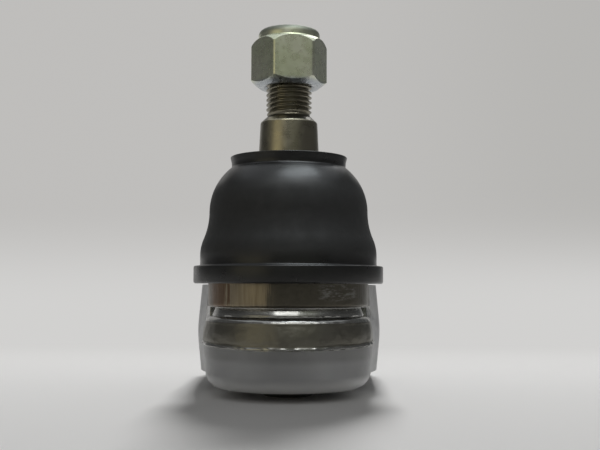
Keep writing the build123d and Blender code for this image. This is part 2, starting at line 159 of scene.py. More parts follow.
def piece_from(bm, name, crease_deg=32):
    """Makes bm an object at the origin, smooth but for edges sharper than crease_deg."""
    bmesh.ops.recalc_face_normals(bm, faces=bm.faces)
    mesh = bpy.data.meshes.new(name)
    bm.to_mesh(mesh)
    bm.free()
    mesh.shade_smooth()
    mesh.set_sharp_from_angle(angle=math.radians(crease_deg))
    piece = bpy.data.objects.new(name, mesh)
    scene.collection.objects.link(piece)
    return piece


def turned(name, points, closed=True, rounded=(), steps=192):
    """A turned piece straight from its outline. closed=False is for an outline that ends on the axis."""
    return piece_from(turn(outline_mesh(points, closed, rounded), steps), name)


# %% [markdown]
# ## Helpers for joining
#
# The housing and the nut are not turned all over. There each simple shape is made by itself, and a
# Boolean modifier adds, cuts or keeps what they share. The modifier is applied straight away, because
# later steps work on the result, and the tool that made the cut is thrown away.

# %% Joining helpers
def apply_modifiers(piece):
    """Bakes the piece's modifiers into its mesh."""
    graph = bpy.context.evaluated_depsgraph_get()
    mesh = bpy.data.meshes.new_from_object(piece.evaluated_get(graph))
    old = piece.data
    piece.modifiers.clear()
    piece.data = mesh
    mesh.name = piece.name
    bpy.data.meshes.remove(old)


def combine(piece, tool, how, crease_deg=32):
    """how is UNION, DIFFERENCE or INTERSECT. The tool is removed afterwards."""
    step = piece.modifiers.new("join", "BOOLEAN")
    step.operation = how
    step.solver = "EXACT"
    step.object = tool
    bpy.context.view_layer.update()
    apply_modifiers(piece)
    bpy.data.objects.remove(tool)
    piece.data.shade_smooth()
    piece.data.set_sharp_from_angle(angle=math.radians(crease_deg))
    return piece


def verts_of(made):
    """The vertices among what an operator made."""
    return [g for g in made["geom"] if isinstance(g, bmesh.types.BMVert)]


def report(piece):
    """Says how big a finished piece is."""
    low, high = piece.bound_box[0], piece.bound_box[6]
    size = [round((b - a) / MM, 1) for a, b in zip(low, high)]
    triangles = sum(len(p.vertices) - 2 for p in piece.data.polygons)
    print(f"{piece.name}: {size} mm, {triangles} triangles")


# %% [markdown]
# ## The heights of the joint
#
# These are the CAD model's own heights and radii in millimetres, from the boss that it stands on to
# the top of the nut. Each piece below is drawn from them, so neighbours still fit. Only the ledge
# under the neck, the line with STEP_R, has numbers of its own: its wall stands half a millimetre
# further out and its cone is steeper than the solid's, because that is how it catches the light.

# %% Shared sizes
BASE_Z, BODY_R, CORNER_R = 2.5, 24.8, 4.8
PARTING_Z, PARTING_R = 15.6, 25.65
BAND_Z, BAND_R, SHOULDER_Z, SHOULDER_ROUND = 21.7, 24.95, 24.0, 2.3
STEP_R, CONE_FOOT_Z, CONE_TOP_Z, CONE_R = 22.9, 24.4, 26.3, 22.2
NECK_Z, NECK_R, NECK_TOP_Z = 26.6, 24.2, 38.2
BORE_R, BORE_Z, BORE_TOP_Z, CRIMP_R = 17.0, 4.2, 31.0, 15.2
COVER_Z = 7.2
ARM_Z, ARM_PART_Z, ARM_TOP_Z, DRAFT_DEG = 6.0, 18.7, 33.2, 5.4
PLATE_Z, PLATE_Y, BLOCK_Y = 20.7, 49.0, 35.0
BOLT_X, BOLT_Y, BOLT_HOLE_R, BOLT_PAD_R = 17.5, 62.0, 6.25, 12.0
END_R, END_Y = 13.5, 75.5
FLANK_X, FLANK_Y = 29.3, 16.0
BALL_R, BALL_Z = 13.0, 24.0
FOOT_Z, FOOT_TOP_Z, FOOT_R, BOOT_R = 33.5, 38.8, 28.7, 26.75
BOOT_WAIST_R, BOOT_WAIST_Z, BOOT_TURN = 24.05, 55.0955, 0.62
ROOT_Z, ROOT_R, RIM_Z, RIM_R, HUB_Z = 68.7, 17.35, 71.9, 17.85, 63.3
JOURNAL_R, JOURNAL_Z, FLARE_Z, STUD_NECK_R = 9.37, 62.2, 50.7, 7.5
TAPER_Z, TAPER_TOP_Z, TAPER_R = 69.25, 82.55, 8.705
THREAD_Z, THREAD_R, PITCH, STUD_TOP_Z = 84.35, 6.98, 1.5, 108.05
NUT_Z, HEX_TOP_Z, COLLAR_TOP_Z = 93.5, 108.5, 111.35
NUT_AF, NUT_TURN_DEG, COLLAR_R = 20.7, 8.6, 9.45
INSERT_Z, INSERT_TOP_Z = 106.75, 110.15
print("stack from the boss:", PARTING_Z, NECK_Z, FOOT_TOP_Z, RIM_Z, THREAD_Z, NUT_Z, COLLAR_TOP_Z)

# %% [markdown]
# ## The housing's round body
#
# The housing is a drop forging. Its dies meet at the flash line round the widest place, and the flash
# is trimmed off in a press, which leaves an uneven ridge. Below the line the wall is smooth, above it
# the skin is scaly, and the neck that carries the boot is turned clean. All of it is one outline.
# Smooth shading needs points beside each corner of the outline, or the highlight smears across it.

# %% Outline of the round body
QUARTER_RISE = 1 - 0.7071  # rise of a quarter turn over its chord, for a radius of 1
LINE_RISE, LINE_TILT = 0.5, 0.95  # how the flash line climbs from the front to the back
FLASH = 0.28


def body_outline():
    """Section of the round body: up the wall to the flash line, the shoulder, the ledge and the neck."""
    outer = [(CRIMP_R + (BODY_R - CORNER_R - CRIMP_R) * i / 4, BASE_Z) for i in range(4)]
    outer += bow((BODY_R - CORNER_R, BASE_Z), (BODY_R, BASE_Z + CORNER_R), -CORNER_R * QUARTER_RISE, 12)
    draft = (PARTING_R - BODY_R) / (PARTING_Z - BASE_Z - CORNER_R)
    for z in (8.2, 9.2, 10.2, 11.1, 11.5, 12.0, 12.6, 13.2, 13.8, 14.3, 14.7, 15.0, 15.25):
        outer.append((BODY_R + draft * (z - BASE_Z - CORNER_R) - (0.05 if z < 11.3 else 0), z))
    outer += [(PARTING_R + FLASH, PARTING_Z - 0.18), (PARTING_R + FLASH, PARTING_Z + 0.12)]
    outer += [(PARTING_R + 0.7 * FLASH, PARTING_Z + 0.32), (PARTING_R + 0.35 * FLASH, PARTING_Z + 0.5)]
    outer += bow((PARTING_R, PARTING_Z + 0.66), (BAND_R, BAND_Z), -0.22, 12)
    rise = -SHOULDER_ROUND * QUARTER_RISE
    rounding = bow((BAND_R, BAND_Z), (BAND_R - SHOULDER_ROUND, SHOULDER_Z), rise, 24)[1:]
    outer += [point for point in rounding if point[0] > STEP_R + 0.03]
    outer += [(STEP_R, outer[-1][1] + 0.02)]
    for share in (0, 0.12, 0.9, 1):
        outer.append((STEP_R + (CONE_R - STEP_R) * share, CONE_FOOT_Z + (CONE_TOP_Z - CONE_FOOT_Z) * share))
    outer.append((CONE_R, NECK_Z))
    outer += [(NECK_R - 0.7, NECK_Z), (NECK_R, NECK_Z + 0.6)]
    outer += [(NECK_R, 28), (NECK_R, 30), (NECK_R, 34), (NECK_R, NECK_TOP_Z)]
    inner = [(17.7, NECK_TOP_Z), (14.7, BORE_TOP_Z)]
    bore = [(BORE_R, BORE_TOP_Z), (BORE_R, BORE_Z), (CRIMP_R, BORE_Z)]
    return outer + inner + bore


print("outline of the body:", len(body_outline()), "points")

# %% [markdown]
# The ridge and the lumps of the skin are moved into the mesh itself, so that their outline and
# highlights are real, and the fine scale is left to the material. Blender's noise gives the same
# value at the same place each run. Near the flash line the points also climb towards the back,
# because the dies had not met quite level.

# %% Spin the body and move its skin
def forged(point):
    """How far a point of the forged skin stands out, in millimetres."""
    z = point.z / MM
    angle = math.atan2(point.y, point.x)
    around = Vector((math.cos(angle), math.sin(angle), 0))
    near_parting = math.exp(-(((z - PARTING_Z) / 0.45) ** 2))
    ridge = 0.30 * noise.noise(around * 14) + 0.22 * noise.noise(around * 41 + Vector((0, 0, 7)))
    band = min(1, max(0, (z - PARTING_Z) / 1.0)) * min(1, max(0, (NECK_Z - 1.2 - z) / 1.5))
    lumps = 0.16 * noise.noise(point / MM * 0.22) + 0.07 * noise.noise(point / MM * 0.9)
    low = 0.05 * noise.noise(point / MM * 0.15)
    return near_parting * ridge + band * lumps + (low if z < PARTING_Z else 0)


SKIN_R, SKIN_Z, SKIN_TOP_Z = 21.8, 3.5, 24.2  # the skin is what lies outside and between these
corners = [((NECK_R, NECK_TOP_Z), 0.5), ((NECK_R, NECK_Z + 0.6), 0.2), ((STEP_R, CONE_FOOT_Z), 0.2)]
bm = turn(outline_mesh(body_outline(), rounded=corners), steps=256)
for v in bm.verts:
    radius = math.hypot(v.co.x, v.co.y)
    if radius > SKIN_R * MM and SKIN_Z * MM < v.co.z < SKIN_TOP_Z * MM:
        v.co.xy *= 1 + forged(v.co) * MM / radius
        near_line = math.exp(-(((v.co.z / MM - PARTING_Z) / 2.6) ** 2))
        climb = LINE_RISE + LINE_TILT * v.co.y / (PARTING_R * MM)
        waver = 0.3 * noise.noise(Vector((v.co.x, v.co.y, 0)) / MM * 0.12)
        v.co.z += near_line * (climb + waver) * MM
housing_skin = piece_from(bm, "housing_skin", crease_deg=40)
report(housing_skin)

# %% [markdown]
# ## The mounting arm
#
# Behind the round body the forging opens into an arm with two bolt pads. A forging needs draft, walls
# that lean in from the parting line so that it leaves the die. A face inset with a depth does just
# that: it moves the face up and draws it in evenly. It is done once up and once down from the same
# outline, and the two halves are welded at the parting line.

# %% Arm
PARTING_BEVEL = 3.2
FORGED_EDGE = 1.5
ARM_PLAN = [
    (0, END_Y - 5.0), (BOLT_X, END_Y), (BOLT_X + END_R, END_Y), (BOLT_X + END_R, BOLT_Y - END_R / 2),
    (FLANK_X, FLANK_Y), (BODY_R - 0.7, -1.0),
]


def arm_half(bm, rise):
    """Half of the arm, from its parting line up (or down) by rise, in millimetres."""
    plan = ARM_PLAN + [(-x, y) for x, y in reversed(ARM_PLAN) if x > 0]
    corners = [bm.verts.new((x * MM, y * MM, ARM_PART_Z * MM)) for x, y in plan]
    bm.faces.new(corners)
    new = set(corners)
    radii = {(BOLT_X + END_R, END_Y): END_R - 1, (FLANK_X, FLANK_Y): 6.0, (0, END_Y - 5.0): 12.0}
    for (x, y), radius in radii.items():
        for side in (-1, 1) if x else (1,):
            spot = Vector((side * x, y, ARM_PART_Z)) * MM
            corner = min(new, key=lambda v: (v.co - spot).length)
            made = bmesh.ops.bevel(
                bm, geom=[corner], offset=radius * 0.55 * MM, offset_type="OFFSET", segments=8,
                profile=0.5, affect="VERTICES", material=-1,
            )
            new = {v for v in new if v.is_valid} | set(made["verts"])
    face = next(f for f in bm.faces if all(v in new for v in f.verts))
    face.normal_update()
    if (face.normal.z > 0) != (rise > 0):
        face.normal_flip()
    inset = abs(rise) * math.tan(math.radians(DRAFT_DEG))
    bmesh.ops.inset_region(
        bm, faces=[face], thickness=inset * MM, depth=abs(rise) * MM, use_even_offset=True,
        use_boundary=True,
    )


bm = bmesh.new()
arm_half(bm, ARM_TOP_Z - ARM_PART_Z)
arm_half(bm, ARM_Z - ARM_PART_Z)
bmesh.ops.remove_doubles(bm, verts=bm.verts, dist=0.02 * MM)
parting = [e for e in bm.edges if all(abs(v.co.z - ARM_PART_Z * MM) < 1e-6 for v in e.verts)]
bmesh.ops.bevel(
    bm, geom=parting, offset=PARTING_BEVEL * MM, offset_type="OFFSET", segments=4, profile=0.5,
    affect="EDGES", material=-1,
)
arm = piece_from(bm, "arm")
report(arm)

# %% [markdown]
# The bolting end is lower than the block behind the neck. A prism with a rounded hollow and a rounded
# brow is cut away above it, and then the Bevel modifier rounds every forged edge at once.

# %% Step in the arm, rounded edges
bm = bmesh.new()
slope = [(17.5, 60), (17.5, ARM_TOP_Z), (BLOCK_Y, ARM_TOP_Z), (PLATE_Y, PLATE_Z), (90, PLATE_Z), (90, 60)]
corners = [bm.verts.new((-60 * MM, y * MM, z * MM)) for y, z in slope]
side = bm.faces.new(corners)
for (y, z), offset in (((BLOCK_Y, ARM_TOP_Z), 4.2), ((PLATE_Y, PLATE_Z), 4.8)):
    corner = min(bm.verts, key=lambda v: (v.co - Vector((-60, y, z)) * MM).length)
    bmesh.ops.bevel(
        bm, geom=[corner], offset=offset * MM, offset_type="OFFSET", segments=8, profile=0.5,
        affect="VERTICES", material=-1,
    )
pulled = bmesh.ops.extrude_face_region(bm, geom=bm.faces[:])
bmesh.ops.translate(bm, vec=(120 * MM, 0, 0), verts=verts_of(pulled))
combine(arm, piece_from(bm, "slope_cutter"), "DIFFERENCE")
soften = arm.modifiers.new("forged_edges", "BEVEL")
soften.width = FORGED_EDGE * MM
soften.segments = 4
soften.limit_method = "ANGLE"
soften.angle_limit = math.radians(38)
apply_modifiers(arm)
report(arm)

# %% [markdown]
# The rib, the bolt pads and their holes follow. The pads reach down to the same plane as the boss, so
# the part stands level. Each pad is a cone segment with no slope, and its edges are broken by a bevel.

# %% Bolt pads and rib
def disc(name, radius, low, high, x=0.0, y=0.0, broken=0.0):
    """A cylinder in millimetres with its rims broken."""
    bm = bmesh.new()
    bmesh.ops.create_cone(
        bm, cap_ends=True, segments=96, radius1=radius * MM, radius2=radius * MM,
        depth=(high - low) * MM,
    )
    if broken:
        rims = [e for e in bm.edges if abs(e.verts[0].co.z - e.verts[1].co.z) < 1e-6]
        bmesh.ops.bevel(
            bm, geom=rims, offset=broken * MM, offset_type="OFFSET", segments=2, profile=0.5,
            affect="EDGES", material=-1,
        )
    bmesh.ops.translate(bm, vec=Vector((x, y, (low + high) / 2)) * MM, verts=bm.verts)
    return piece_from(bm, name)


bm = bmesh.new()
RIB_Z, PAD_Z = ARM_TOP_Z - 1.6, PLATE_Z + 1.4  # tops of the rib at the neck, and of the pads
rib = [(27, RIB_Z), (34, RIB_Z), (66, PAD_Z), (69, PLATE_Z - 1), (27, PLATE_Z - 1)]
bm.faces.new([bm.verts.new((-4 * MM, y * MM, z * MM)) for y, z in rib])
pulled = bmesh.ops.extrude_face_region(bm, geom=bm.faces[:])
bmesh.ops.translate(bm, vec=(8 * MM, 0, 0), verts=verts_of(pulled))
along = [e for e in bm.edges if abs(e.verts[0].co.x - e.verts[1].co.x) < 1e-6]
top = [e for e in along if max(v.co.z for v in e.verts) > (PAD_Z - 0.1) * MM]
bmesh.ops.bevel(
    bm, geom=top, offset=1.6 * MM, offset_type="OFFSET", segments=4, profile=0.5,
    affect="EDGES", material=-1,
)
combine(arm, piece_from(bm, "rib"), "UNION")
for side in (-1, 1):
    combine(arm, disc("pad", BOLT_PAD_R, 0, PAD_Z, side * BOLT_X, BOLT_Y, broken=0.8), "UNION")
    combine(arm, disc("hole", BOLT_HOLE_R, -2, 40, side * BOLT_X, BOLT_Y), "DIFFERENCE")
report(arm)

# %% [markdown]
# Last the arm is hollowed where the round body is, and the two are joined. The turned tool for that is
# a little smaller than the body, so the skins cross cleanly, and no wall is left inside.

# %% Join arm and body
hollow = [(0, -2), (23.0, -2), (23.0, 21.5), (21.6, 23.3), (20.6, 24.2), (20.6, 27.2), (23.6, 27.8)]
hollow += [(23.6, 45), (0, 45)]
combine(arm, turned("hollow", hollow, closed=False, steps=128), "DIFFERENCE")
combine(housing_skin, arm, "UNION", crease_deg=38)
report(housing_skin)

# %% [markdown]
# ## The end cover
#
# A pressed steel disc closes the housing from below. Its boss is what the part stands on. Like the
# body it is one outline, spun, and small bevels on two corners of the outline give it its rounded boss.

# %% End cover
cover = [(0, 0), (7.2, 0), (8.4, 1.2), (8.4, 3.6), (9.0, BORE_Z), (16.98, BORE_Z), (16.98, COVER_Z)]
cover += [(6.6, COVER_Z), (5.8, 6.4), (5.8, 2.6), (0, 2.6)]
soft_boss = [((8.4, 1.2), 0.4), ((7.2, 0), 0.4)]
cover_skin = turned("cover_skin", cover, closed=False, rounded=soft_boss, steps=128)
report(cover_skin)

# %% [markdown]
# ## The ball stud
#
# The stud is one piece of steel: a ground ball, a neck, a journal for the boot's collar, a 1:10 taper
# and a rolled thread. All but the thread is turned, so one outline and a spin make it. The corners
# that a grinding wheel leaves are softened in the outline, where one point stands for a whole ring.

# %% Stud body
steps_up = [math.radians(-71.2 + i * (71.2 + 48.6) / 40) for i in range(41)]
ball = [(BALL_R * math.cos(a), BALL_Z + BALL_R * math.sin(a)) for a in steps_up]
neck = [(8.0, 35.2), (7.7, 36.2), (STUD_NECK_R, 37.2), (STUD_NECK_R, FLARE_Z), (JOURNAL_R, JOURNAL_Z)]
shank = [(JOURNAL_R, TAPER_Z), (TAPER_R, TAPER_TOP_Z), (6.75, THREAD_Z), (6.3, THREAD_Z + 0.25)]
shank += [(0, THREAD_Z + 0.25)]
stud_skin = turned(
    "stud_skin", [(0, ball[0][1])] + ball + neck + shank, closed=False,
    rounded=[((JOURNAL_R, JOURNAL_Z), 0.6), ((STUD_NECK_R, FLARE_Z), 1.5), ((JOURNAL_R, TAPER_Z), 0.3),
             ((TAPER_R, TAPER_TOP_Z), 0.35)],
)
report(stud_skin)

# %% [markdown]
# The thread is a true helix. Stacked rings would be quicker, but their groove would not climb, and
# that shows at the sides. One pitch of the V outline is spun round the axis while it climbs, so each
# turn's top lands on the next turn's foot, and the two are merged.

# %% Thread
THREAD_FOOT_R = THREAD_R - 0.92
V_OUTLINE = [
    (THREAD_FOOT_R, 0), (THREAD_FOOT_R, 0.16), (THREAD_R - 0.04, 0.69), (THREAD_R, 0.75), (THREAD_R, 0.88),
    (THREAD_R - 0.04, 0.94), (THREAD_FOOT_R, 1.47), (THREAD_FOOT_R, PITCH),
]
STEPS_PER_TURN = 64
turns = math.ceil((STUD_TOP_Z - THREAD_Z) / PITCH) + 3
bm = bmesh.new()
start_z = THREAD_Z - PITCH * 1.5
wire = [bm.verts.new((r * MM, 0, (start_z + z) * MM)) for r, z in V_OUTLINE]
edges = [bm.edges.new(pair) for pair in zip(wire, wire[1:])]
bmesh.ops.spin(
    bm, geom=wire + edges, cent=(0, 0, 0), axis=(0, 0, 1), dvec=(0, 0, PITCH * MM / STEPS_PER_TURN),
    angle=math.tau * turns, steps=STEPS_PER_TURN * turns, use_merge=False,
)
bmesh.ops.remove_doubles(bm, verts=bm.verts, dist=0.002 * MM)
for height, normal in ((THREAD_Z - 0.1, (0, 0, -1)), (STUD_TOP_Z, (0, 0, 1))):
    bmesh.ops.bisect_plane(
        bm, geom=bm.verts[:] + bm.edges[:] + bm.faces[:], plane_co=(0, 0, height * MM), plane_no=normal,
        clear_outer=True,
    )
bmesh.ops.holes_fill(bm, edges=[e for e in bm.edges if e.is_boundary])
print("thread:", turns, "turns,", len(bm.faces), "faces")

# %% [markdown]
# The helix was cut off level at both ends and closed. Rolling dies leave a groove that runs out
# towards the shank, so there the points move to one radius. At the tip they are drawn in to a
# chamfer that starts the nut. The last cut is the centre hole that held the stud in the lathe.

# %% Run-out, chamfer and centre hole
RUN_OUT_R, RUN_OUT_LENGTH = 6.55, 1.6
CHAMFER, CENTRE_R = 1.05, 1.6
for v in bm.verts:
    radius, height = math.hypot(v.co.x, v.co.y) / MM, v.co.z / MM
    if radius <= 1:
        continue
    full = min(1, max(0, (height - THREAD_Z - 0.1) / RUN_OUT_LENGTH))
    target = radius + (RUN_OUT_R - radius) * (1 - full)
    to_tip = STUD_TOP_Z - height
    if to_tip < CHAMFER:
        target = min(target, THREAD_R - CHAMFER + to_tip)
    v.co.xy *= target / radius
thread = piece_from(bm, "thread", crease_deg=25)
report(thread)
combine(stud_skin, thread, "UNION", crease_deg=28)
centre = [(0, STUD_TOP_Z - CENTRE_R), (CENTRE_R, STUD_TOP_Z), (CENTRE_R, 112), (0, 112)]
combine(stud_skin, turned("centre", centre, closed=False, steps=48), "DIFFERENCE", crease_deg=28)
report(stud_skin)

# %% [markdown]
# ## The lock nut
#
# A cylinder with six sides gives the hexagon, and its upright edges are bevelled round. Then it is
# turned, as on the real nut: the Boolean keeps only what is inside a turned blank, with a cone below
# and a rounded crown above, and that makes the arcs on each flat. The round collar that holds the
# nylon ring is added, and the bore is cut.

# %% Lock nut
bm = bmesh.new()
bmesh.ops.create_cone(
    bm, cap_ends=True, segments=6, radius1=NUT_AF / math.sqrt(3) * MM, radius2=NUT_AF / math.sqrt(3) * MM,
    depth=(HEX_TOP_Z - NUT_Z + 1) * MM,
)
upright = [e for e in bm.edges if abs(e.verts[0].co.z - e.verts[1].co.z) > MM]
bmesh.ops.bevel(
    bm, geom=upright, offset=0.7 * MM, offset_type="OFFSET", segments=5, profile=0.5,
    affect="EDGES", material=-1,
)
bmesh.ops.rotate(
    bm, cent=(0, 0, 0), matrix=Matrix.Rotation(math.radians(NUT_TURN_DEG + 30), 3, "Z"),
    verts=bm.verts,
)
bmesh.ops.translate(bm, vec=(0, 0, (HEX_TOP_Z + NUT_Z) / 2 * MM), verts=bm.verts)
nut_skin = piece_from(bm, "nut_skin", crease_deg=12)
blank_r = NUT_AF / math.sqrt(3) + 0.3
face_r = NUT_AF / 2 - 1.25
cone_h = (blank_r - face_r) * math.tan(math.radians(38))
blank = [(0, NUT_Z), (face_r, NUT_Z), (blank_r, NUT_Z + cone_h)]
blank += bow((blank_r, HEX_TOP_Z - 6.2), (COLLAR_R + 0.02, HEX_TOP_Z), -1.05, 16) + [(0, HEX_TOP_Z)]
combine(nut_skin, turned("blank", blank, closed=False, steps=160), "INTERSECT", crease_deg=20)
COLLAR_FOOT_Z = INSERT_Z - 0.05
collar = [(0, COLLAR_FOOT_Z), (COLLAR_R - 0.01, COLLAR_FOOT_Z)]
collar += bow((COLLAR_R, COLLAR_TOP_Z - 1.8), (COLLAR_R - 1.8, COLLAR_TOP_Z), -0.527, 8) + [(0, COLLAR_TOP_Z)]
combine(nut_skin, turned("collar", collar, closed=False, steps=160), "UNION", crease_deg=20)
NUT_BORE_R, SINK_R, INSERT_R, MOUTH_R = 7.03, 7.83, 8.3, 7.43
bore = [(0, 90), (SINK_R, 90), (SINK_R, NUT_Z), (NUT_BORE_R, NUT_Z + 0.8), (NUT_BORE_R, INSERT_Z)]
bore += [(INSERT_R, INSERT_Z), (INSERT_R, INSERT_TOP_Z + 0.05), (MOUTH_R, COLLAR_TOP_Z - 0.6)]
bore += [(MOUTH_R, 115), (0, 115)]
combine(nut_skin, turned("bore", bore, closed=False, steps=96), "DIFFERENCE", crease_deg=20)
report(nut_skin)

# %% [markdown]
# ## The dust boot
#
# The boot is moulded rubber. Its wall is smooth arcs that meet without a corner: the bulge low down,
# the hollow at the waist, and the dome. Arcs of known radius are used, because the inside of the wall
# is then the same arcs with the rubber's thickness taken off or added.

# %% Arcs of the boot's wall
BOOT_T = 2.3
GRIP_R, COLLAR_BORE_R = 24.25, 9.42  # where the boot grips the neck below and the journal above
SKIRT_TOP = (BOOT_R, FOOT_TOP_Z + 3.1)
drop, spread = BOOT_WAIST_Z - SKIRT_TOP[1], BOOT_R - BOOT_WAIST_R
middle = (BOOT_WAIST_R + BOOT_TURN * spread, BOOT_WAIST_Z - BOOT_TURN * drop)
both_radii = (drop**2 + spread**2) / (2 * spread)
upper_r, lower_r = BOOT_TURN * both_radii, (1 - BOOT_TURN) * both_radii


def wall_arc(start, end, radius, side, count):
    """An arc of the boot's wall with a known radius."""
    half = (Vector(end) - Vector(start)).length / 2
    rise = radius - math.sqrt(radius * radius - half * half)
    return bow(start, end, side * rise, count)


dome_in = BOOT_WAIST_R - ROOT_R
dome_r = (dome_in**2 + (ROOT_Z - BOOT_WAIST_Z) ** 2) / (2 * dome_in)
share = 1 - BOOT_T / lower_r
inner_middle = (
    BOOT_R - lower_r + (middle[0] - BOOT_R + lower_r) * share,
    SKIRT_TOP[1] + (middle[1] - SKIRT_TOP[1]) * share,
)
waist, inner_waist = (BOOT_WAIST_R, BOOT_WAIST_Z), (BOOT_WAIST_R - BOOT_T, BOOT_WAIST_Z)
print(f"wall radii: bulge {lower_r:.1f}, waist {upper_r:.1f}, dome {dome_r:.1f} mm")

# %% [markdown]
# The boot bends as the stud swings, and on this model it crosses two joints, one for each direction of
# swing. A piece can bend across one joint, so the boot is made in two, the skirt and the dome. They
# meet at the waist in the same ring of points.

# %% Skirt and dome
BASE_RING_R, BASE_RING_Z, BASE_RING_TOP_Z = 25.55, 34.0, 37.6  # grooves that hold the two rings
TOP_RING_R, TOP_RING_Z, TOP_RING_TOP_Z = 10.77, 64.35, 67.65
skirt = [(FOOT_R, FOOT_Z), (FOOT_R, FOOT_TOP_Z), (BOOT_R, FOOT_TOP_Z)]
skirt += wall_arc(SKIRT_TOP, middle, lower_r, -1, 8) + wall_arc(middle, waist, upper_r, 1, 12)[1:]
skirt += [inner_waist] + wall_arc(inner_waist, inner_middle, upper_r + BOOT_T, -1, 8)[1:]
skirt += wall_arc(inner_middle, (BOOT_R - BOOT_T, SKIRT_TOP[1]), lower_r - BOOT_T, 1, 6)[1:]
skirt += [(GRIP_R, FOOT_TOP_Z), (GRIP_R, BASE_RING_TOP_Z), (BASE_RING_R, BASE_RING_TOP_Z)]
skirt += [(BASE_RING_R, BASE_RING_Z), (GRIP_R, BASE_RING_Z), (GRIP_R, FOOT_Z)]
boot_skirt = turned(
    "boot_skirt", skirt,
    rounded=[((FOOT_R, FOOT_Z), 0.7), ((FOOT_R, FOOT_TOP_Z), 0.55), ((BOOT_R, FOOT_TOP_Z), 0.5)],
)
report(boot_skirt)
dome = wall_arc(waist, (ROOT_R, ROOT_Z), dome_r, -1, 22)
dome += [(17.45, 70.2), (RIM_R, RIM_Z), (17.0, RIM_Z), (15.0, 69.9), (12.0, 69.1)]
dome += [(COLLAR_BORE_R, ROOT_Z + 0.05), (COLLAR_BORE_R, TOP_RING_TOP_Z)]
dome += [(TOP_RING_R, TOP_RING_TOP_Z), (TOP_RING_R, TOP_RING_Z), (COLLAR_BORE_R, TOP_RING_Z)]
dome += [(COLLAR_BORE_R, HUB_Z), (12.77, HUB_Z), (18.35, 65.1)]
dome += wall_arc((18.35, 65.1), inner_waist, dome_r - BOOT_T, 1, 14)[1:]
boot_dome = turned(
    "boot_dome", dome,
    rounded=[((ROOT_R, ROOT_Z), 0.35), ((RIM_R, RIM_Z), 0.3), ((17.0, RIM_Z), 0.3), ((12.0, 69.1), 0.6)],
)
report(boot_dome)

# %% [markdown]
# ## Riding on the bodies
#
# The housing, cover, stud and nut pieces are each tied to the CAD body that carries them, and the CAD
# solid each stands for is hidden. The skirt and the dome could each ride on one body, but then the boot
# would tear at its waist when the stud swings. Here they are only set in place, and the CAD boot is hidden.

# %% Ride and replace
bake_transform(boot_skirt)
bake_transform(boot_dome)
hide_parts("dust_boot")
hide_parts("dust_boot")
for piece, body, node in (
    (housing_skin, "housing", "housing"), (cover_skin, "housing", "end_cover"),
    (stud_skin, "stud", "ball_stud"), (nut_skin, "nut", "lock_nut"),
):
    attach(piece, body)
    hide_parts(node)
print("pieces tied")

# %% [markdown]
# ## Finishes
#
# Every finish is worked out from the piece's own Object coordinates, so it stays put as the joint
# moves. `Finish` makes a Principled material and holds small functions for its nodes, so that each
# finish below reads like a recipe.

